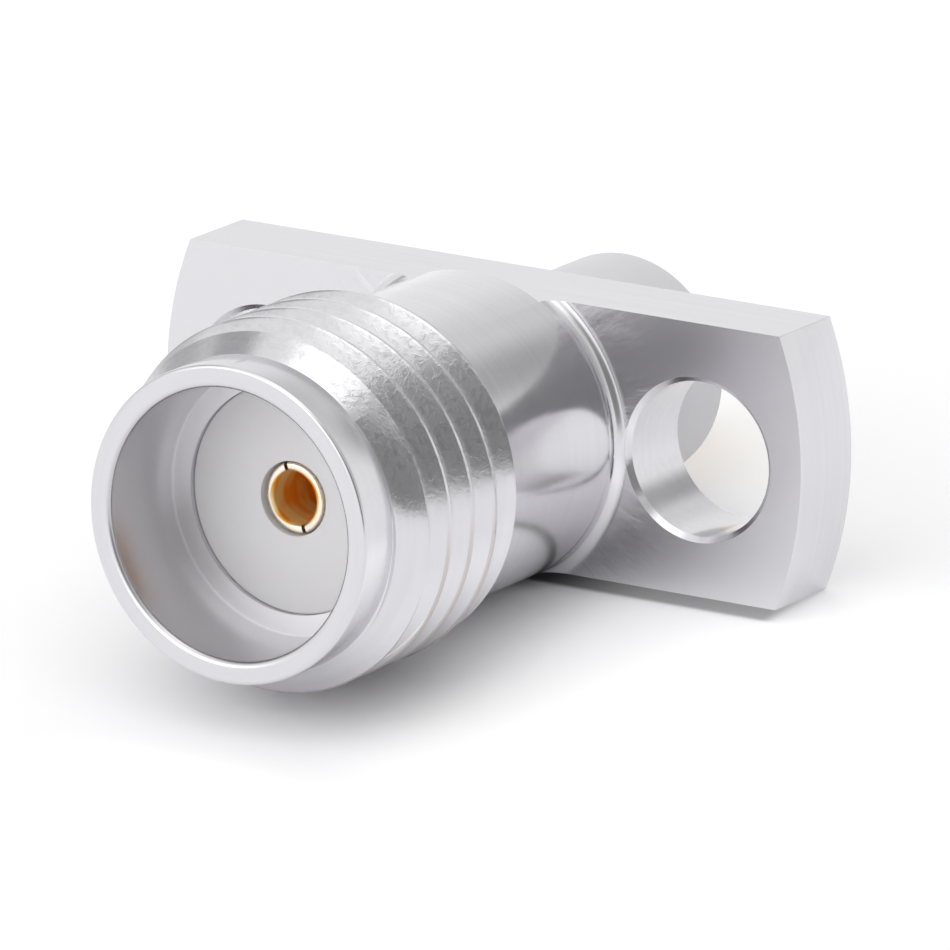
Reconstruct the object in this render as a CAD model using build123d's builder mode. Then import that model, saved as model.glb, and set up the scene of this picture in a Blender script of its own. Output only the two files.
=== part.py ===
from build123d import *
import math
import os

os.makedirs("parts", exist_ok=True)

# Frame: the origin is the centre of the flange's rear face, the face that lies on the panel.
# The connector's axis runs along Y with the mating end at -Y, the flange is long in X, and +Z is up.

# Barrel, a standard threaded jack, 1/4-36 thread. Pilot, thread root and neck share one diameter.
mating_length = 9.525
thread_dia = 6.35
thread_depth = 0.445
pilot_length = 0.825
neck_length = 3.90
rim_break = 0.06
corner_fillet = 0.25
flat_run = 0.05

# Mouth that takes the mating plug, down to the shoulder that the plug's tube stops on.
rim_wall = 0.40
bore_depth = 1.925
mouth_break = 0.10
shoulder_width = 0.35

# Flange, cut from round bar, so its ends are arcs about the connector's axis.
# Each screw hole fills the room between the neck and the flange's end, less these lands.
bar_dia = 12.70
flange_thick = 1.65
flat_wall = 0.40
neck_land = 0.24
end_land = 0.68
hole_break = 0.09
edge_break = 0.05

# Insulator, pressed in line to line, with one ridge that sits in a groove inside the barrel.
insulator_recess = 0.10
insulator_tail = 3.02
insulator_break = 0.05
ridge_height = 0.12
ridge_width = 0.50
ridge_inset = 2.45

# Centre contact: slotted socket in front, barb in the middle, solder cup behind.
contact_dia = 1.27
contact_clear = 0.01
contact_recess = 0.05
socket_wall = 0.165
socket_depth = 3.20
socket_solid = 0.60
slot_width = 0.20
slot_angle = 109.0
squeeze = 0.065
tine_root = 0.10
tine_relief = 0.012
tip_break = 0.04
tip_lead = 0.05
barb_height = 0.14
barb_length = 0.50
barb_setback = 1.55
cup_reach = 2.18
cup_wall = 0.235
cup_depth = 1.70
cup_ring = 0.30

root_dia = thread_dia - 2 * thread_depth
bore_dia = root_dia - 2 * rim_wall
insulator_dia = bore_dia - 2 * shoulder_width
flange_height = insulator_dia + 2 * flat_wall
hole_dia = (bar_dia - root_dia) / 2 - neck_land - end_land
hole_spacing = root_dia + 2 * neck_land + hole_dia
socket_dia = contact_dia - 2 * socket_wall
cup_dia = contact_dia - 2 * cup_wall
slot_length = socket_depth - socket_solid

# Every y is counted from the flange's rear face.
front_y = -mating_length
pilot_rear_y = front_y + pilot_length
thread_rear_y = -flange_thick - neck_length
shoulder_y = front_y + bore_depth
insulator_front_y = shoulder_y + insulator_recess
insulator_rear_y = insulator_tail
ridge_rear_y = -flange_thick - ridge_inset
contact_front_y = insulator_front_y + contact_recess
slot_end_y = contact_front_y + slot_length
barb_front_y = slot_end_y + barb_setback
cup_rear_y = insulator_rear_y + cup_reach

body_root_r = root_dia / 2
thread_r = thread_dia / 2
thread_front_y = pilot_rear_y + thread_depth
thread_flank = thread_depth * math.tan(math.radians(30))
flat_z = flange_height / 2
flat_front_y = -flange_thick - corner_fillet - flat_run


# Body, one turned and milled piece. The thread's crests are the plain cylinder here.
with BuildPart() as body:
    with BuildSketch(Plane.XY):
        with BuildLine():
            Polyline(
                (insulator_dia / 2, 0),
                (insulator_dia / 2, ridge_rear_y),
                (insulator_dia / 2 + ridge_height, ridge_rear_y),
                (insulator_dia / 2 + ridge_height, ridge_rear_y - ridge_width),
                (insulator_dia / 2, ridge_rear_y - ridge_width),
                (insulator_dia / 2, shoulder_y),
                (bore_dia / 2, shoulder_y),
                (bore_dia / 2, front_y + mouth_break),
                (bore_dia / 2 + mouth_break, front_y),
                (body_root_r - rim_break, front_y),
                (body_root_r, front_y + rim_break),
                (body_root_r, pilot_rear_y),
                (thread_r, thread_front_y),
                (thread_r, thread_rear_y),
                (body_root_r, thread_rear_y + thread_flank),
                (body_root_r, -flange_thick),
                (bar_dia / 2, -flange_thick),
                (bar_dia / 2, 0),
                close=True,
            )
        make_face()
    revolve(axis=Axis.Y)
    # The corner between neck and flange is turned with the tool's nose radius.
    corner = body.edges().filter_by(GeomType.CIRCLE).filter_by(
        lambda e: abs(e.center().Y + flange_thick) < 1e-6 and abs(e.radius - body_root_r) < 1e-6
    )
    fillet(corner, radius=corner_fillet)
    # Two flats are milled across the bar; the cutter clears the fillet and stops on the neck.
    with BuildSketch(Plane.XZ):
        with Locations((0, flat_z + bar_dia / 4), (0, -flat_z - bar_dia / 4)):
            Rectangle(bar_dia * 1.1, bar_dia / 2)
    extrude(amount=-flat_front_y, mode=Mode.SUBTRACT)
    # Edge breaks along the flange's outline, front and rear.
    outline = body.edges().filter_by(
        lambda e: (abs(e.center().Y) < 1e-6 or abs(e.center().Y + flange_thick) < 1e-6)
        and (e.bounding_box().max.X > body_root_r + 0.5 or e.bounding_box().min.X < -body_root_r - 0.5)
    )
    chamfer(outline, length=edge_break)
    # Two screw holes, broken on both faces with a countersink. They graze the fillet.
    with BuildSketch(Plane.XZ):
        with GridLocations(hole_spacing, 0, 2, 1):
            Circle(hole_dia / 2)
    extrude(amount=flange_thick, mode=Mode.SUBTRACT)
    for x in (-hole_spacing / 2, hole_spacing / 2):
        with Locations(Plane(origin=(x, -flange_thick, 0), z_dir=(0, -1, 0))):
            Cone(hole_dia / 2 - hole_break, hole_dia / 2 + 2 * hole_break, 3 * hole_break,
                 align=(Align.CENTER, Align.CENTER, Align.CENTER), mode=Mode.SUBTRACT)
        with Locations(Plane(origin=(x, 0, 0), z_dir=(0, 1, 0))):
            Cone(hole_dia / 2 - hole_break, hole_dia / 2 + 2 * hole_break, 3 * hole_break,
                 align=(Align.CENTER, Align.CENTER, Align.CENTER), mode=Mode.SUBTRACT)

# Insulator, one turned piece. It fills the barrel and stands out behind the flange.
ins_r = insulator_dia / 2
hole_r = contact_dia / 2 + contact_clear
barb_r = contact_dia / 2 + barb_height
with BuildPart() as insulator:
    with BuildSketch(Plane.XY):
        with BuildLine():
            Polyline(
                (hole_r, insulator_front_y),
                (ins_r, insulator_front_y),
                (ins_r, ridge_rear_y - ridge_width),
                (ins_r + ridge_height, ridge_rear_y - ridge_width),
                (ins_r + ridge_height, ridge_rear_y),
                (ins_r, ridge_rear_y),
                (ins_r, insulator_rear_y - insulator_break),
                (ins_r - insulator_break, insulator_rear_y),
                (hole_r, insulator_rear_y),
                (hole_r, barb_front_y + barb_length + contact_clear),
                (barb_r + contact_clear, barb_front_y + barb_length + contact_clear),
                (hole_r, barb_front_y),
                close=True,
            )
        make_face()
    revolve(axis=Axis.Y)

# Contact, one piece. The barrel with its blind socket is turned first, then the two tines,
# each a half tube hinged inwards at the slot's end, and last the cup's window.
con_r = contact_dia / 2
soc_r = socket_dia / 2
tine_r = con_r - tine_relief
grip_r = soc_r + tine_relief
lean = math.asin(squeeze / slot_length)
slot_a = math.radians(slot_angle)
slot_dir = Vector(math.cos(slot_a), 0, math.sin(slot_a))
across = Vector(-math.sin(slot_a), 0, math.cos(slot_a))

with BuildPart() as contact:
    with BuildSketch(Plane.XY):
        with BuildLine():
            Polyline(
                (soc_r, slot_end_y),
                (con_r, slot_end_y),
                (con_r, barb_front_y),
                (barb_r, barb_front_y + barb_length),
                (con_r, barb_front_y + barb_length),
                (con_r, cup_rear_y),
                (cup_dia / 2, cup_rear_y),
                (cup_dia / 2, cup_rear_y - cup_depth),
                (0, cup_rear_y - cup_depth),
                (0, contact_front_y + socket_depth + soc_r * math.tan(math.radians(30))),
                (soc_r, contact_front_y + socket_depth),
                close=True,
            )
        make_face()
    revolve(axis=Axis.Y)
    for side in (1, -1):
        inwards = Vector(0, -math.cos(lean), 0) - across * (side * math.sin(lean))
        tine = Plane(origin=(0, slot_end_y, 0), x_dir=slot_dir, z_dir=inwards).offset(-tine_root)
        with BuildSketch(tine):
            Circle(tine_r)
            Circle(grip_r, mode=Mode.SUBTRACT)
            with Locations((0, -side * (con_r - slot_width / 2))):
                Rectangle(3 * con_r, 2 * con_r, mode=Mode.SUBTRACT)
        extrude(amount=slot_length + tine_root)
    tips = contact.faces().filter_by(lambda f: f.center().Y < contact_front_y + 0.05)
    outer = tips.edges().filter_by(GeomType.CIRCLE).filter_by(lambda e: e.radius > tine_r - 1e-4)
    inner = tips.edges().filter_by(GeomType.CIRCLE).filter_by(lambda e: e.radius < grip_r + 1e-4)
    chamfer(outer, length=tip_break)
    chamfer(inner, length=tip_lead)
    with BuildSketch(Plane.XY.offset(cup_dia / 4)):
        with Locations((0, cup_rear_y - cup_depth / 2 + cup_ring / 2 + 0.5)):
            Rectangle(3 * con_r, cup_depth - cup_ring + 1.0)
    extrude(amount=con_r, mode=Mode.SUBTRACT)

body.part.label = "body"
export_step(body.part, "parts/body.step")
insulator.part.label = "insulator"
export_step(insulator.part, "parts/insulator.step")
contact.part.label = "contact"
export_step(contact.part, "parts/contact.step")
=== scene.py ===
import math

import bmesh
import bpy
from mathutils import Matrix, Vector


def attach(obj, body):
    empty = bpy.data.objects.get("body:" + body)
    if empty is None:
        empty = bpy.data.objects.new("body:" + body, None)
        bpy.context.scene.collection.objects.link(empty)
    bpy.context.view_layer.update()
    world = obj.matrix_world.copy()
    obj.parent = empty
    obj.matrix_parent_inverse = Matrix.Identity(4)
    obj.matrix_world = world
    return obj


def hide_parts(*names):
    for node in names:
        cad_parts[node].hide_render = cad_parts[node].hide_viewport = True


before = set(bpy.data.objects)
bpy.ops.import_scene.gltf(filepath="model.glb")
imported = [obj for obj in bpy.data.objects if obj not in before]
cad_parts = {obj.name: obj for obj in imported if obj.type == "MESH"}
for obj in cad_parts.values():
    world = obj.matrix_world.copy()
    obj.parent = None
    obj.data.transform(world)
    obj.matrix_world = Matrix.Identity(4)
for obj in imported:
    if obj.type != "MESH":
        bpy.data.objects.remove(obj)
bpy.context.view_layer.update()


# Body: the jack's outer conductor and its flange, one piece of stainless bar. It is turned on a
# lathe, the thread is cut with a single point, two flats are milled across the flange, and the
# screw holes are drilled and broken on both faces. Passivated, so it stays bright and colourless.
MM = 0.001
AXIS = (0, 1, 0)
# Sizes are in mm, and every y is counted from the flange's rear face.
RIM_Y, CHAMFER_Y, THREAD_END_Y, STEP_Y, FLANGE_Y = -9.525, -8.70, -5.55, -1.95, -1.65
NECK_R, THREAD_R, BORE_R, SHOULDER_Y, SEAT_R = 2.73, 3.175, 2.33, -7.60, 1.98
FLANGE_R, FLAT_Z, HOLE_X, HOLE_R = 6.35, 2.38, 4.32, 1.35
CORNER_R, MOUTH_ROUND, RIM_ROUND, HOLE_BREAK, EDGE_ROUND = 0.25, 0.10, 0.06, 0.09, 0.045
THREAD_RISE = THREAD_R - NECK_R


def turned(outline, steps):
    """A closed outline of (radius, y, rounding) corners in mm, turned about the Y axis."""
    bm = bmesh.new()
    corners = [bm.verts.new((r * MM, y * MM, 0)) for r, y, _ in outline]
    for a, b in zip(corners, corners[1:] + corners[:1]):
        bm.edges.new((a, b))
    for size in sorted({c[2] for c in outline if c[2]}):
        at = [v for v, c in zip(corners, outline) if v.is_valid and c[2] == size]
        bmesh.ops.bevel(bm, geom=at, offset=size * MM, offset_type="OFFSET", segments=4, profile=0.5,
                        affect="VERTICES", material=-1, clamp_overlap=True)
    bmesh.ops.spin(bm, geom=bm.verts[:] + bm.edges[:], axis=AXIS, cent=(0, 0, 0),
                   angle=math.tau, steps=steps, use_merge=True)
    bmesh.ops.remove_doubles(bm, verts=bm.verts, dist=1e-7)
    bmesh.ops.recalc_face_normals(bm, faces=bm.faces)
    return bm


def as_mesh(name, *parts):
    """One mesh from several bmeshes, which are freed."""
    mesh = bpy.data.meshes.new(name)
    whole = bmesh.new()
    for part in parts:
        part.to_mesh(mesh)
        whole.from_mesh(mesh)
        part.free()
    whole.to_mesh(mesh)
    whole.free()
    return mesh


def as_piece(name, mesh):
    piece = bpy.data.objects.new(name, mesh)
    bpy.context.scene.collection.objects.link(piece)
    return piece


def combined(mesh, tool, operation):
    """The mesh cut by, or joined with, the tool's mesh."""
    work, other = as_piece("work", mesh), as_piece("tool", tool)
    joint = work.modifiers.new("cut", "BOOLEAN")
    joint.operation, joint.solver, joint.object = operation, "EXACT", other
    bpy.context.view_layer.update()
    made = bpy.data.meshes.new_from_object(work.evaluated_get(bpy.context.evaluated_depsgraph_get()))
    for done in (work, other):
        bpy.data.objects.remove(done)
    return made


def smoothed(piece, sharp):
    """Smooth shading, with edges over the sharp angle left crisp."""
    piece.data.shade_smooth()
    piece.data.set_sharp_from_angle(angle=math.radians(sharp))


def linear(colour):
    """An sRGB hex colour as linear red, green, blue and alpha."""
    parts = [int(colour[i:i + 2], 16) / 255 for i in (1, 3, 5)]
    return (*(c / 12.92 if c <= 0.04045 else ((c + 0.055) / 1.055) ** 2.4 for c in parts), 1)


def new_material(name):
    """A new node material, with its tree."""
    made = bpy.data.materials.new(name)
    made.use_nodes = True
    return made, made.node_tree


def node(tree, kind, inputs=None, **settings):
    """Adds a node with its settings; an input is a value or another node's output. Gives its outputs."""
    made = tree.nodes.new(kind)
    for name, value in settings.items():
        setattr(made, name, value)
    for name, value in (inputs or {}).items():
        if isinstance(value, bpy.types.NodeSocket):
            tree.links.new(value, made.inputs[name])
        else:
            made.inputs[name].default_value = value
    return made.outputs


corner = [(NECK_R + CORNER_R - CORNER_R * math.cos(math.radians(a)),
           FLANGE_Y - CORNER_R + CORNER_R * math.sin(math.radians(a)), 0) for a in range(0, 91, 6)]
blank = turned([
    (SEAT_R, 0, 0), (SEAT_R, SHOULDER_Y, 0), (BORE_R, SHOULDER_Y, 0), (BORE_R, RIM_Y, MOUTH_ROUND),
    (NECK_R, RIM_Y, RIM_ROUND), (NECK_R, CHAMFER_Y, 0), (THREAD_R, CHAMFER_Y + THREAD_RISE, 0),
    (THREAD_R, THREAD_END_Y, 0), (NECK_R, THREAD_END_Y + THREAD_RISE * math.tan(math.radians(30)), 0),
    *corner, (FLANGE_R, FLANGE_Y, 0), (FLANGE_R, 0, 0)], steps=300)

# The flats' cutters are slabs 16 mm long and 4 mm high. Each drill has a cone at both faces.
slabs = bmesh.new()
for side in (1, -1):
    bmesh.ops.create_cube(slabs, size=1, matrix=Matrix.LocRotScale(
        Vector((0, (STEP_Y + 2) / 2, side * (FLAT_Z + 2))) * MM, None,
        Vector((16, 2 - STEP_Y, 4)) * MM))
drills = []
for side in (1, -1):
    wide, past = HOLE_R + 2.5 * HOLE_BREAK, 1.5 * HOLE_BREAK
    drill = turned([(0, FLANGE_Y - past, 0), (wide, FLANGE_Y - past, 0), (HOLE_R, FLANGE_Y + HOLE_BREAK, 0),
                    (HOLE_R, -HOLE_BREAK, 0), (wide, past, 0), (0, past, 0)], steps=96)
    bmesh.ops.translate(drill, verts=drill.verts, vec=Vector((side * HOLE_X, 0, 0)) * MM)
    drills.append(drill)
body_mesh = combined(as_mesh("blank", blank), as_mesh("tools", slabs, *drills), "DIFFERENCE")


def on_flange_edge(edge):
    """True for the edges of the flange's outline: round both faces and where a flat meets an arc."""
    ends = [v.co / MM for v in edge.verts]
    faces = [abs(c.y - y) < 1e-3 for y in (FLANGE_Y, 0) for c in ends]
    flats = [abs(abs(c.z) - FLAT_Z) < 1e-3 for c in ends]
    arcs = [abs(math.hypot(c.x, c.z) - FLANGE_R) < 4e-3 for c in ends]
    on_face = all(faces[:2]) or all(faces[2:])
    return (on_face and (all(flats) or all(arcs))) or (all(flats) and all(arcs))


# The mill leaves sharp edges, and tumbling takes them off all round the flange.
milled = bmesh.new()
milled.from_mesh(body_mesh)
bmesh.ops.remove_doubles(milled, verts=milled.verts, dist=2e-7)
bmesh.ops.bevel(milled, geom=[e for e in milled.edges if on_flange_edge(e)], offset=EDGE_ROUND * MM,
                offset_type="OFFSET", affect="EDGES", segments=3, profile=0.5, material=-1,
                clamp_overlap=True)
bmesh.ops.recalc_face_normals(milled, faces=milled.faces)
milled.to_mesh(body_mesh)
milled.free()

# Thread, 36 per inch and right-handed: the groove's outline is swept round the barrel. The outline's
# half is a list of (radius, half width): a narrow root, 60 degree flanks and slightly rounded crests.
PITCH, THREAD_TURNS, THREAD_STEPS = 25.4 / 36, 7, 160
GROOVE_START_Y, GROOVE_START_ANGLE = -9.39, -13
groove = bmesh.new()
outline = [(NECK_R + 0.006, 0.05), (THREAD_R - 0.035, 0.288),
           (THREAD_R + 0.02, 0.342), (THREAD_R + 0.25, 0.345)]
outline = [(r, -y) for r, y in reversed(outline)] + outline
ring = [groove.verts.new((r * MM, y * MM, 0)) for r, y in outline]
for a, b in zip(ring, ring[1:] + ring[:1]):
    groove.edges.new((a, b))
bmesh.ops.rotate(groove, verts=groove.verts, cent=(0, 0, 0),
                 matrix=Matrix.Rotation(math.radians(GROOVE_START_ANGLE), 3, "Y"))
bmesh.ops.translate(groove, verts=groove.verts, vec=Vector((0, GROOVE_START_Y, 0)) * MM)
bmesh.ops.spin(groove, geom=groove.verts[:] + groove.edges[:], axis=AXIS, cent=(0, 0, 0),
               dvec=Vector(AXIS) * PITCH * MM / THREAD_STEPS, angle=math.tau * THREAD_TURNS,
               steps=THREAD_STEPS * THREAD_TURNS)
bmesh.ops.holes_fill(groove, edges=[e for e in groove.edges if e.is_boundary])
bmesh.ops.recalc_face_normals(groove, faces=groove.faces)
body_mesh = combined(body_mesh, as_mesh("groove", groove), "DIFFERENCE")
body = as_piece("jack_body", body_mesh)

# Turned surfaces are shaded smooth, and faces that the lathe and mill left flat stay flat.
smoothed(body, 32)
for face in body.data.polygons:
    milled_flat = abs(face.normal.z) > 0.9999 and abs(face.center.z) > (FLAT_Z - 0.001) * MM
    if abs(face.normal.y) > 0.9999 or milled_flat:
        face.use_smooth = False

# Stainless steel turned, milled and passivated: a clear grey metal with a faint violet cast. The
# lathe leaves rings round the axis and the mill leaves lines along the flats. Both are finer than
# can be seen from here, so they are drawn coarser, about 0.1 mm apart. The thread is torn a little
# by its tool, and the plug's bore is left duller than the outside.
steel, tree = new_material("passivated_stainless_steel")
shader = tree.nodes["Principled BSDF"]
place = node(tree, "ShaderNodeTexCoord")["Object"]
spot = node(tree, "ShaderNodeSeparateXYZ", inputs={"Vector": place})
from_axis = node(tree, "ShaderNodeVectorMath", operation="MULTIPLY", inputs={0: place, 1: (1, 0, 1)})[0]
from_axis = node(tree, "ShaderNodeVectorMath", operation="LENGTH", inputs={0: from_axis})["Value"]
height = node(tree, "ShaderNodeMath", operation="ABSOLUTE", inputs={0: spot["Z"]})[0]

# Where each way of working the steel shows, as masks of 0 to 1. First the soft ones, each with the
# places in mm where it starts and where it is full, and the value that it starts from.
where = {}
for name, value, start, full, least in (
        ("bore_wall", from_axis, BORE_R + 0.09, BORE_R + 0.02, 0.0),
        ("before_shoulder", spot["Y"], SHOULDER_Y - 0.01, SHOULDER_Y - 0.10, 0.0),
        ("out_of_root", from_axis, NECK_R + 0.005, NECK_R + 0.05, 0.0),
        ("before_neck", spot["Y"], THREAD_END_Y + 0.30, THREAD_END_Y + 0.20, 0.0),
        ("flat_height", height, FLAT_Z - 0.03, FLAT_Z - 0.01, 0.0),
        ("low", spot["Z"], 0.4, -0.8, 0.0),
        ("upper", spot["Z"], 0.0, 1.4, 0.04),
        ("right_side", spot["X"], 0.2, 1.5, 0.35),
        ("near_neck", from_axis, 4.4, 3.2, 0.0)):
    where[name] = node(tree, "ShaderNodeMapRange", interpolation_type="SMOOTHSTEP", inputs={
        "Value": value, "From Min": start * MM, "From Max": full * MM, "To Min": least, "To Max": 1.0})[0]

# Then the sharp ones, each with its middle and its reach to either side, in mm.
for name, value, middle, reach in (
        ("on_face", spot["Y"], FLANGE_Y, 0.002),
        ("on_shoulder", spot["Y"], SHOULDER_Y, 0.004),
        ("root", from_axis, NECK_R + 0.02, 0.045),
        ("crest", from_axis, THREAD_R, 0.030),
        ("thread_length", spot["Y"], (CHAMFER_Y + THREAD_END_Y + 0.45) / 2,
         (THREAD_END_Y - CHAMFER_Y - 0.45) / 2)):
    where[name] = node(tree, "ShaderNodeMath", operation="COMPARE", inputs={
        0: value, 1: middle * MM, 2: reach * MM})[0]
where["on_flange"] = node(tree, "ShaderNodeMath", operation="GREATER_THAN", inputs={
    0: spot["Y"], 1: (STEP_Y - 0.01) * MM})[0]

# And those made of two others. The thread's roots and its lower crests are drawn darker and a little
# warm: painted shade in the grooves and on the thread's underside.
for name, operation, first, second in (
        ("in_bore", "MULTIPLY", "bore_wall", "before_shoulder"),
        ("on_thread", "MULTIPLY", "out_of_root", "before_neck"),
        ("on_flat", "MULTIPLY", "flat_height", "on_flange"),
        ("low_crest", "MULTIPLY", "crest", "low"),
        ("root_or_crest", "MAXIMUM", "root", "low_crest"),
        ("painted_thread_shade", "MULTIPLY", "root_or_crest", "thread_length"),
        ("upper_right", "MULTIPLY", "upper", "right_side"),
        ("chattered", "MULTIPLY", "on_face", "near_neck")):
    where[name] = node(tree, "ShaderNodeMath", operation=operation, inputs={
        0: where[first], 1: where[second]})[0]

# Rings: a noise that changes fast along the axis and outwards, and slowly round it. The mill's lines
# run along the flats. Each gap is the size of the noise's second layer.
RING_GAP, MILL_GAP = 0.06, 0.08
outwards = node(tree, "ShaderNodeMath", operation="DIVIDE", inputs={0: from_axis, 1: RING_GAP * MM})[0]
along_axis = node(tree, "ShaderNodeMath", operation="DIVIDE", inputs={0: spot["Y"], 1: RING_GAP * MM})[0]
around = node(tree, "ShaderNodeMath", operation="ARCTAN2", inputs={0: spot["Z"], 1: spot["X"]})[0]
around_slow = node(tree, "ShaderNodeMath", operation="SINE", inputs={0: around})[0]
around_slow = node(tree, "ShaderNodeMath", operation="MULTIPLY", inputs={0: around_slow, 1: 3.0})[0]
across_rings = node(tree, "ShaderNodeCombineXYZ", inputs={
    "X": outwards, "Y": along_axis, "Z": around_slow})[0]
rings = node(tree, "ShaderNodeTexNoise", inputs={
    "Vector": across_rings, "Scale": 0.5, "Detail": 1.5, "Roughness": 0.6})["Fac"]
along_flats = node(tree, "ShaderNodeVectorMath", operation="MULTIPLY", inputs={
    0: place, 1: Vector((0.03, 1.0, 0.4)) / (MILL_GAP * MM)})[0]
mill_lines = node(tree, "ShaderNodeTexNoise", inputs={
    "Vector": along_flats, "Scale": 0.5, "Detail": 2.0, "Roughness": 0.6})["Fac"]
marks = node(tree, "ShaderNodeMix", data_type="FLOAT", inputs={
    "Factor": where["on_flat"], "A": rings, "B": mill_lines})["Result"]

# Chatter: the facing tool left shallow waves on the flange's front beside the neck, about 1.1 mm
# long outwards and 11 to the radian round it.
CHATTER_OUT, CHATTER_ROUND = 1.1, 11.0
round_face = node(tree, "ShaderNodeMath", operation="MULTIPLY", inputs={0: around, 1: CHATTER_ROUND})[0]
out_face = node(tree, "ShaderNodeMath", operation="DIVIDE", inputs={0: from_axis, 1: CHATTER_OUT * MM})[0]
chatter_at = node(tree, "ShaderNodeCombineXYZ", inputs={"X": round_face, "Y": out_face})[0]
chatter = node(tree, "ShaderNodeTexNoise", inputs={
    "Vector": chatter_at, "Scale": 1.0, "Detail": 3.0, "Roughness": 0.6, "Distortion": 0.3})["Fac"]
chatter = node(tree, "ShaderNodeMath", operation="MULTIPLY", inputs={0: chatter, 1: where["chattered"]})[0]

# Handling leaves soft clouds, about 1.2 mm across, in the sheen.
CLOUD = 1.2
clouds = node(tree, "ShaderNodeTexNoise", inputs={
    "Vector": place, "Scale": 1 / (CLOUD * MM), "Detail": 3.0, "Roughness": 0.5})["Fac"]

# The tool tears the thread: flecks 0.05 to 0.15 mm across, longer round the axis than along it. They
# are drawn strongest over its upper right side, where the reflections show them, and faint elsewhere.
FLECK = 0.08
along_thread = node(tree, "ShaderNodeVectorMath", operation="MULTIPLY", inputs={
    0: place, 1: Vector((0.5, 1.0, 0.5)) / (FLECK * MM)})[0]
flecks = node(tree, "ShaderNodeTexNoise", inputs={
    "Vector": along_thread, "Scale": 1.0, "Detail": 3.0, "Roughness": 0.65, "Distortion": 0.6})["Fac"]
torn = node(tree, "ShaderNodeMapRange", inputs={"Value": flecks, "From Min": 0.45, "From Max": 0.70})[0]
for mask in ("on_thread", "upper_right"):
    torn = node(tree, "ShaderNodeMath", operation="MULTIPLY", inputs={0: torn, 1: where[mask]})[0]
where["torn"] = torn

gloss = node(tree, "ShaderNodeMapRange", inputs={
    "Value": clouds, "From Min": 0.3, "From Max": 0.7, "To Min": 0.15, "To Max": 0.20})[0]
for mask, roughness in (("on_flat", 0.24), ("in_bore", 0.27), ("on_face", 0.26), ("on_shoulder", 0.50),
                        ("torn", 0.20)):
    gloss = node(tree, "ShaderNodeMix", data_type="FLOAT", inputs={
        "Factor": where[mask], "A": gloss, "B": roughness})["Result"]
tree.links.new(gloss, shader.inputs["Roughness"])

bright = node(tree, "ShaderNodeMapRange", inputs={"Value": marks, "From Min": 0.25, "From Max": 0.75})[0]
tint = node(tree, "ShaderNodeMix", data_type="RGBA", inputs={
    "Factor": bright, "A": linear("#D8D7DB"), "B": linear("#DDDCDF")})["Result"]
# The roots and lower crests of the thread get a darker, warm tint: painted shade.
for mask, colour in (("in_bore", "#C9C7CA"), ("on_face", "#DBDADD"), ("on_shoulder", "#F6F5F7"),
                     ("torn", "#C4C3C5"), ("painted_thread_shade", "#C6C0BE")):
    tint = node(tree, "ShaderNodeMix", data_type="RGBA", inputs={
        "Factor": where[mask], "A": tint, "B": linear(colour)})["Result"]
tree.links.new(tint, shader.inputs["Base Color"])

relief = node(tree, "ShaderNodeBump", inputs={"Height": marks, "Strength": 0.25, "Distance": 0.0004 * MM})[0]
for raised, strength, depth in ((torn, 0.6, 0.0036), (chatter, 0.5, 0.030)):
    relief = node(tree, "ShaderNodeBump", inputs={
        "Height": raised, "Normal": relief, "Strength": strength, "Distance": depth * MM})[0]
tree.links.new(relief, shader.inputs["Normal"])
shader.inputs["Metallic"].default_value = 1
body.data.materials.clear()
body.data.materials.append(steel)
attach(body, "root")
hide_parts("body")


# Insulator: PTFE rod turned to size and pressed in from behind, white and waxy. Its front lies
# 0.1 mm behind the shoulder, and its tail runs on through the panel.
INSULATOR_FRONT_Y, INSULATOR_END_Y, INSULATOR_HOLE_R = -7.50, 3.02, 0.645
insulator = as_piece("ptfe_insulator", as_mesh("insulator", turned([
    (INSULATOR_HOLE_R, INSULATOR_FRONT_Y, 0), (SEAT_R, INSULATOR_FRONT_Y, 0.03),
    (SEAT_R, INSULATOR_END_Y, 0.05), (INSULATOR_HOLE_R, INSULATOR_END_Y, 0)], steps=160)))
smoothed(insulator, 28)

# Turned PTFE: a cold white, matt but a little waxy, and light sinks into it a little. The long tail
# behind the flange is drawn greyer than the short face in the bore: painted shade on the tail and
# painted light on the face. The lathe's lines are drawn coarser than they are, about 0.15 mm apart.
MOTTLE, LATHE_GAP = 0.7, 0.09
ptfe, tree = new_material("turned_ptfe")
shader = tree.nodes["Principled BSDF"]
place = node(tree, "ShaderNodeTexCoord")["Object"]
spot = node(tree, "ShaderNodeSeparateXYZ", inputs={"Vector": place})
tail = node(tree, "ShaderNodeMapRange", interpolation_type="SMOOTHSTEP", inputs={
    "Value": spot["Y"], "From Min": -7.3 * MM, "From Max": -6.0 * MM})[0]
mottle = node(tree, "ShaderNodeTexNoise", inputs={
    "Vector": place, "Scale": 1 / (MOTTLE * MM), "Detail": 4.0, "Roughness": 0.6})["Fac"]
# The face's pale colours are painted light, and the tail's grey ones are painted shade.
front, behind = (node(tree, "ShaderNodeMix", data_type="RGBA", inputs={
    "Factor": mottle, "A": linear(dark), "B": linear(pale)})["Result"]
    for dark, pale in (("#F5F3F8", "#F8F7FA"), ("#D9D8DC", "#DEDEE1")))
white = node(tree, "ShaderNodeMix", data_type="RGBA", inputs={
    "Factor": tail, "A": front, "B": behind})["Result"]
tree.links.new(white, shader.inputs["Base Color"])
tool_lines = node(tree, "ShaderNodeVectorMath", operation="MULTIPLY", inputs={
    0: place, 1: Vector((0.2, 1.0, 0.2)) / (LATHE_GAP * MM)})[0]
tool_lines = node(tree, "ShaderNodeTexNoise", inputs={
    "Vector": tool_lines, "Scale": 0.5, "Detail": 1.0})["Fac"]
relief = node(tree, "ShaderNodeBump", inputs={
    "Height": tool_lines, "Strength": 0.4, "Distance": 0.004 * MM})[0]
tree.links.new(relief, shader.inputs["Normal"])
wax = node(tree, "ShaderNodeMapRange", inputs={"Value": mottle, "To Min": 0.42, "To Max": 0.55})[0]
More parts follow.
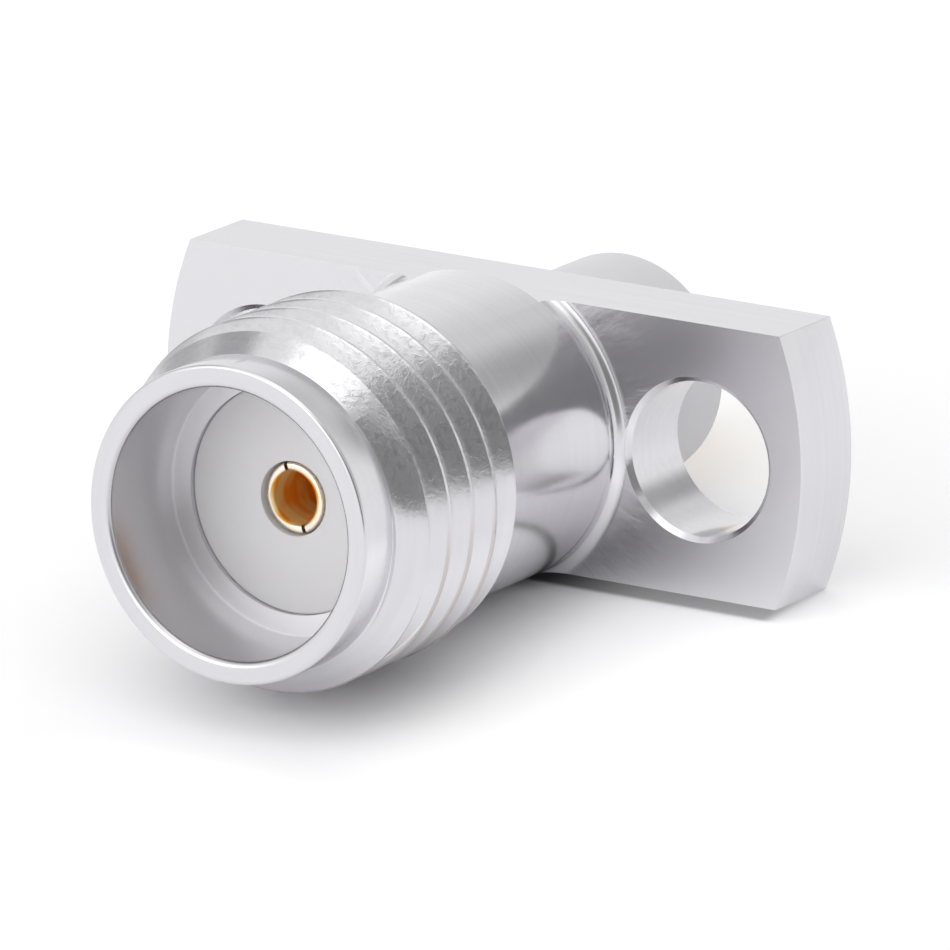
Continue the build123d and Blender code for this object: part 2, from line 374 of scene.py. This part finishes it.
tree.links.new(wax, shader.inputs["Roughness"])
shader.inputs["IOR"].default_value = 1.35
shader.inputs["Subsurface Weight"].default_value = 0.5
shader.inputs["Subsurface Radius"].default_value = (1, 1, 1)
shader.inputs["Subsurface Scale"].default_value = 0.15 * MM
insulator.data.materials.append(ptfe)
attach(insulator, "root")
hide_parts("insulator")


# Centre contact: beryllium copper, turned, slotted and squeezed so that its two tines grip the
# plug's pin, then gold plated. A barb holds it in the insulator, and a solder cup ends it behind.
CONTACT_R, SOCKET_R, TIP_Y, SLOT_END_Y = 0.635, 0.47, -7.45, -4.85
SLOT_ANGLE, SLOT_HALF, SQUEEZE = math.radians(109), 0.10, 0.065
TINE_RELIEF, TINE_ROOT, TIP_ROUND = 0.012, 0.10, 0.045
BARB_R, BARB_FRONT_Y, BARB_BACK_Y = 0.775, -3.30, -2.80
CUP_R, CUP_FLOOR_Y, CUP_END_Y, CUP_RING = 0.40, 3.50, 5.20, 0.30
DRILL_END_Y, DRILL_POINT_Y = -4.25, -3.98
contact_mesh = as_mesh("stem", turned([
    (SOCKET_R, SLOT_END_Y, 0), (CONTACT_R, SLOT_END_Y, 0), (CONTACT_R, BARB_FRONT_Y, 0),
    (BARB_R, BARB_BACK_Y, 0), (CONTACT_R, BARB_BACK_Y, 0), (CONTACT_R, CUP_END_Y, 0),
    (CUP_R, CUP_END_Y, 0), (CUP_R, CUP_FLOOR_Y, 0), (0, CUP_FLOOR_Y, 0),
    (0, DRILL_POINT_Y, 0), (SOCKET_R, DRILL_END_Y, 0)], steps=96))

# The cup's upper side is milled away from half its radius up, which leaves a whole ring before it.
window = bmesh.new()
bmesh.ops.create_cube(window, size=1, matrix=Matrix.LocRotScale(
    Vector((0, CUP_FLOOR_Y + CUP_RING + 1, CUP_R / 2 + 1)) * MM, None, Vector((3, 2, 2)) * MM))
contact_mesh = combined(contact_mesh, as_mesh("window", window), "DIFFERENCE")

# Each tine is a half tube, cut off at the slot's side and then hinged inwards at the slot's end.
across = Vector((-math.sin(SLOT_ANGLE), 0, math.cos(SLOT_ANGLE)))
along = Vector((math.cos(SLOT_ANGLE), 0, math.sin(SLOT_ANGLE)))
lean = math.asin(SQUEEZE / (SLOT_END_Y - TIP_Y))
for side in (1, -1):
    inner, outer, root_y = SOCKET_R + TINE_RELIEF, CONTACT_R - TINE_RELIEF, SLOT_END_Y + TINE_ROOT
    tine = turned([(inner, root_y, 0), (inner, TIP_Y, TIP_ROUND), (outer, TIP_Y, TIP_ROUND),
                   (outer, root_y, 0)], steps=96)
    bmesh.ops.bisect_plane(tine, geom=tine.verts[:] + tine.edges[:] + tine.faces[:], dist=1e-8,
                           plane_co=across * side * SLOT_HALF * MM, plane_no=across * side,
                           clear_inner=True)
    bmesh.ops.holes_fill(tine, edges=[e for e in tine.edges if e.is_boundary])
    bmesh.ops.rotate(tine, verts=tine.verts, cent=(0, SLOT_END_Y * MM, 0),
                     matrix=Matrix.Rotation(side * lean, 3, along))
    bmesh.ops.recalc_face_normals(tine, faces=tine.faces)
    contact_mesh = combined(contact_mesh, as_mesh("tine", tine), "UNION")
contact = as_piece("centre_contact", contact_mesh)
smoothed(contact, 28)

# Gold plated over turned copper alloy: pale where the rounded tips are rubbed bright, yellow on the
# stem and cup, and deep orange in the socket, where light meets gold several times and the drilled
# wall is duller. Fine rings run round it, drawn coarser than they are, about 0.1 mm apart, and the
# drill left broader bands, about 0.3 mm apart, in the socket.
TOOL_GAP, BAND_GAP = 0.07, 0.30
gold, tree = new_material("gold_plating")
shader = tree.nodes["Principled BSDF"]
place = node(tree, "ShaderNodeTexCoord")["Object"]
spot = node(tree, "ShaderNodeSeparateXYZ", inputs={"Vector": place})
from_axis = node(tree, "ShaderNodeVectorMath", operation="MULTIPLY", inputs={0: place, 1: (1, 0, 1)})[0]
from_axis = node(tree, "ShaderNodeVectorMath", operation="LENGTH", inputs={0: from_axis})["Value"]
in_socket = node(tree, "ShaderNodeMapRange", interpolation_type="SMOOTHSTEP", inputs={
    "Value": from_axis, "From Min": (SOCKET_R + 0.030) * MM, "From Max": (SOCKET_R - 0.010) * MM})[0]
behind_tips = node(tree, "ShaderNodeMapRange", interpolation_type="SMOOTHSTEP", inputs={
    "Value": spot["Y"], "From Min": (TIP_Y + 0.15) * MM, "From Max": (TIP_Y + 0.60) * MM})[0]
tool_rings = node(tree, "ShaderNodeVectorMath", operation="MULTIPLY", inputs={
    0: place, 1: Vector((0.3, 1.0, 0.3)) / (TOOL_GAP * MM)})[0]
tool_rings = node(tree, "ShaderNodeTexNoise", inputs={
    "Vector": tool_rings, "Scale": 0.5, "Detail": 2.0, "Roughness": 0.6})["Fac"]
bands = node(tree, "ShaderNodeVectorMath", operation="MULTIPLY", inputs={
    0: place, 1: Vector((0.5, 1.0, 0.5)) / (BAND_GAP * MM)})[0]
bands = node(tree, "ShaderNodeTexNoise", inputs={"Vector": bands, "Scale": 1.0, "Detail": 1.0})["Fac"]
bands = node(tree, "ShaderNodeMapRange", inputs={"Value": bands, "From Min": 0.40, "From Max": 0.60})[0]
tips, stem_gold, inside = (node(tree, "ShaderNodeMix", data_type="RGBA", inputs={
    "Factor": pattern, "A": linear(dark), "B": linear(pale)})["Result"]
    for pattern, dark, pale in ((tool_rings, "#FAEED6", "#FDF6E8"), (tool_rings, "#E9C27A", "#F0CF8E"),
                                (bands, "#FFBC4C", "#FFEAB0")))
outside = node(tree, "ShaderNodeMix", data_type="RGBA", inputs={
    "Factor": behind_tips, "A": tips, "B": stem_gold})["Result"]
plating = node(tree, "ShaderNodeMix", data_type="RGBA", inputs={
    "Factor": in_socket, "A": outside, "B": inside})["Result"]
tree.links.new(plating, shader.inputs["Base Color"])
relief = node(tree, "ShaderNodeBump", inputs={
    "Height": tool_rings, "Strength": 0.4, "Distance": 0.0012 * MM})[0]
tree.links.new(relief, shader.inputs["Normal"])
sheen = node(tree, "ShaderNodeMapRange", inputs={"Value": tool_rings, "To Min": 0.20, "To Max": 0.34})[0]
sheen = node(tree, "ShaderNodeMix", data_type="FLOAT", inputs={
    "Factor": in_socket, "A": sheen, "B": 0.78})["Result"]
tree.links.new(sheen, shader.inputs["Roughness"])
shader.inputs["Metallic"].default_value = 1
contact.data.materials.clear()
contact.data.materials.append(gold)
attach(contact, "root")
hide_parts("contact")


# Table: a sheet of white paper. The connector lies on its thread's last crest and the insulator's
# rear edge, with its axis a little out of level, so the table slopes in the part's own frame.
# The second grey is a painted shadow for the slit under the flange.
PAPER, PAPER_SLIT_SHADOW = "#FAFAFB", "#78787C"
TILT = math.atan2(-SEAT_R + THREAD_R, INSULATOR_END_Y - THREAD_END_Y)
table_bm = bmesh.new()
bmesh.ops.create_grid(table_bm, x_segments=1, y_segments=1, size=1.2)
bmesh.ops.rotate(table_bm, verts=table_bm.verts, cent=(0, 0, 0), matrix=Matrix.Rotation(TILT, 3, "X"))
bmesh.ops.translate(table_bm, verts=table_bm.verts, vec=Vector((0, THREAD_END_Y, -THREAD_R)) * MM)
table = as_piece("table", as_mesh("table", table_bm))

# White paper scatters nearly all light. Painted light, laid out by place, is added for the rays that
# look at it, so that the open sheet is white and the connector's shadow stays. Places on the sheet
# are in its own level frame, where it lies at TABLE_Z.
TABLE_Z = -2.38
paper, tree = new_material("white_paper")
tree.nodes.clear()
look = node(tree, "ShaderNodeLightPath")
seen = node(tree, "ShaderNodeMath", operation="MAXIMUM", inputs={
    0: look["Is Camera Ray"], 1: look["Is Glossy Ray"]})[0]
seen = node(tree, "ShaderNodeMath", operation="MAXIMUM", inputs={
    0: seen, 1: look["Is Transmission Ray"]})[0]
place = node(tree, "ShaderNodeTexCoord")["Object"]
flat = node(tree, "ShaderNodeMapping", inputs={"Vector": place, "Rotation": (-TILT, 0, 0)})[0]
along_table = node(tree, "ShaderNodeSeparateXYZ", inputs={"Vector": flat})
off_middle = node(tree, "ShaderNodeMath", operation="ABSOLUTE", inputs={0: along_table["X"]})[0]
beside_barrel, under_barrel, off_mouth = (node(tree, "ShaderNodeVectorMath", operation="DISTANCE", inputs={
    0: flat, 1: Vector((x, y, TABLE_Z)) * MM})["Value"] for x, y in ((5.0, -4.6), (0.0, -4.0), (0.0, -15.0)))

# The lift is painted light. It grows away from the connector over the open sheet, with a painted
# patch of extra light beside the barrel on the right. Before the mouth it is highest, and that is for
# the camera alone. The slit under the flange, a tenth of a millimetre high, is nearly dark, so the
# paper there is drawn as grey, a painted shadow.
on_paper = {"seen": seen, "to_camera": look["Is Camera Ray"]}
for name, value, start, end, low, high in (
        ("painted_light_pool", beside_barrel, 1.0, 9.0, 0.24, 0.0),
        ("right_side", along_table["X"], 1.0, 3.4, 0.0, 1.0),
        ("ahead", along_table["Y"], 2.5, -3.0, 0.0, 1.0),
        ("open_sheet", under_barrel, 2.5, 7.5, 0.0, 0.14),
        ("painted_light_before_mouth", off_mouth, 2.0, 5.3, 0.36, 0.0),
        ("slit_width", off_middle, 5.85, 5.5, 0.0, 1.0),
        ("slit_front", along_table["Y"], -2.02, -1.84, 0.0, 1.0)):
    on_paper[name] = node(tree, "ShaderNodeMapRange", interpolation_type="SMOOTHSTEP", inputs={
        "Value": value, "From Min": start * MM, "From Max": end * MM, "To Min": low, "To Max": high})[0]
on_paper["slit_back"] = node(tree, "ShaderNodeMath", operation="LESS_THAN", inputs={
    0: along_table["Y"], 1: -0.5 * MM})[0]
for name, operation, first, second in (
        ("painted_light_pool", "MULTIPLY", "painted_light_pool", "right_side"),
        ("painted_light_pool", "MULTIPLY", "painted_light_pool", "ahead"),
        ("all_rays", "ADD", "painted_light_pool", "open_sheet"),
        ("all_rays", "MULTIPLY", "seen", "all_rays"),
        ("camera_rays", "MULTIPLY", "to_camera", "painted_light_before_mouth"),
        ("lift", "ADD", "all_rays", "camera_rays"),
        ("slit_shadow", "MULTIPLY", "slit_width", "slit_front"),
        ("slit_shadow", "MULTIPLY", "slit_shadow", "slit_back")):
    on_paper[name] = node(tree, "ShaderNodeMath", operation=operation, inputs={
        0: on_paper[first], 1: on_paper[second]})[0]
# Painted light: the paper gives off the lift laid out above.
painted_light_glow = node(tree, "ShaderNodeEmission", inputs={
    "Color": linear("#FFFFFF"), "Strength": on_paper["lift"]})
# The paper in the slit is painted grey: a painted shadow.
sheet = node(tree, "ShaderNodeMix", data_type="RGBA", inputs={
    "Factor": on_paper["slit_shadow"], "A": linear(PAPER), "B": linear(PAPER_SLIT_SHADOW)})["Result"]
matt = node(tree, "ShaderNodeBsdfDiffuse", inputs={"Color": sheet})
both = node(tree, "ShaderNodeAddShader", inputs={0: painted_light_glow[0], 1: matt[0]})
node(tree, "ShaderNodeOutputMaterial", inputs={"Surface": both[0]})
paper.cycles.emission_sampling = "NONE"
table.data.materials.append(paper)


# Light: a white tent, with two brighter panels over and beside the front, and grey cards round the
# part, out of the picture, which give the bright metal its darker reflections. A card is a disc with
# a soft edge; its azimuth is counted from +Y towards +X, and its spread is half its width in degrees.
world = bpy.data.worlds.new("white_tent")
bpy.context.scene.world = world
world.use_nodes = True
world.node_tree.nodes["Background"].inputs["Color"].default_value = linear("#FFFFFF")
world.node_tree.nodes["Background"].inputs["Strength"].default_value = 1.0
CARD_AWAY = 450
for name, azimuth, elevation, spread, soft, strength in (
        ("camera_side", 140, 10, 29, 0.40, 0.27),
        ("camera_top", 154, 29, 17, 0.6, 0.33),
        ("camera_high", 138, 43, 11, 0.6, 0.60),
        ("right_back", 22, 26, 18, 0.8, 0.45),
        ("back_top", 5, 55, 34, 0.8, 0.70),
        ("right", 82, 35, 38, 0.6, 0.60),
        ("left_high", -102, 45, 16, 0.6, 0.45),
        ("left_low", -88, 22, 18, 0.7, 0.55),
        ("top_panel", 174, 64, 24, 0.7, 1.75),
        ("front_panel", -160, 16, 32, 0.8, 1.90)):
    turn, lift_angle = math.radians(azimuth), math.radians(elevation)
    way = Vector((math.sin(turn) * math.cos(lift_angle), math.cos(turn) * math.cos(lift_angle),
                  math.sin(lift_angle)))
    reach = CARD_AWAY * math.tan(math.radians(spread))
    card_bm = bmesh.new()
    bmesh.ops.create_circle(card_bm, cap_ends=True, segments=64, radius=reach * MM)
    bmesh.ops.rotate(card_bm, verts=card_bm.verts, cent=(0, 0, 0),
                     matrix=way.to_track_quat("Z", "Y").to_matrix())
    bmesh.ops.translate(card_bm, verts=card_bm.verts, vec=way * CARD_AWAY * MM)
    card = as_piece("card_" + name, as_mesh("card_" + name, card_bm))
    card.visible_camera = False
    felt, tree = new_material("card_" + name)
    tree.nodes.clear()
    place = node(tree, "ShaderNodeTexCoord")["Object"]
    away = node(tree, "ShaderNodeVectorMath", operation="DISTANCE", inputs={
        0: place, 1: way * CARD_AWAY * MM})["Value"]
    edge = node(tree, "ShaderNodeMapRange", interpolation_type="SMOOTHSTEP", inputs={
        "Value": away, "From Min": reach * (1 - soft) * MM, "From Max": reach * MM})[0]
    lit = node(tree, "ShaderNodeEmission", inputs={"Color": linear("#FFFFFF"), "Strength": strength})
    clear = node(tree, "ShaderNodeBsdfTransparent")
    both = node(tree, "ShaderNodeMixShader", inputs={"Fac": edge, 1: lit[0], 2: clear[0]})
    node(tree, "ShaderNodeOutputMaterial", inputs={"Surface": both[0]})
    felt.cycles.emission_sampling = "NONE"
    card.data.materials.append(felt)


# Camera: a long lens, close to the photograph's place, a little above the barrel's front right. Its
# angles, its distance, its aim and its focal length in pixels come from a fit to the photograph.
azimuth, elevation, roll = (math.radians(a) for a in (32.089, 15.219, 0.461))
CAMERA_AWAY, FOCAL_PIXELS, PICTURE_PIXELS = 270.894, 16105.32, 950
AIM_Y, AIM_RIGHT, AIM_DOWN = -4.5, 1.4309, 0.2585
back = Vector((math.sin(azimuth) * math.cos(elevation), -math.cos(azimuth) * math.cos(elevation),
               math.sin(elevation)))
level = Vector((math.cos(azimuth), math.sin(azimuth), 0))
rise = back.cross(level)
right = level * math.cos(roll) + rise * math.sin(roll)
up = rise * math.cos(roll) - level * math.sin(roll)
aim = Vector((0, AIM_Y, 0)) + right * AIM_RIGHT - up * AIM_DOWN
camera = bpy.data.objects.new("camera", bpy.data.cameras.new("camera"))
bpy.context.scene.collection.objects.link(camera)
camera.data.sensor_width = 36
camera.data.lens = 36 * FOCAL_PIXELS / PICTURE_PIXELS
camera.data.clip_start, camera.data.clip_end = 0.01, 10
turned_to = Matrix((right, up, back)).transposed().to_4x4()
camera.matrix_world = Matrix.Translation((aim + back * CAMERA_AWAY) * MM) @ turned_to
bpy.context.scene.camera = camera
bpy.context.scene.view_settings.view_transform = "Standard"
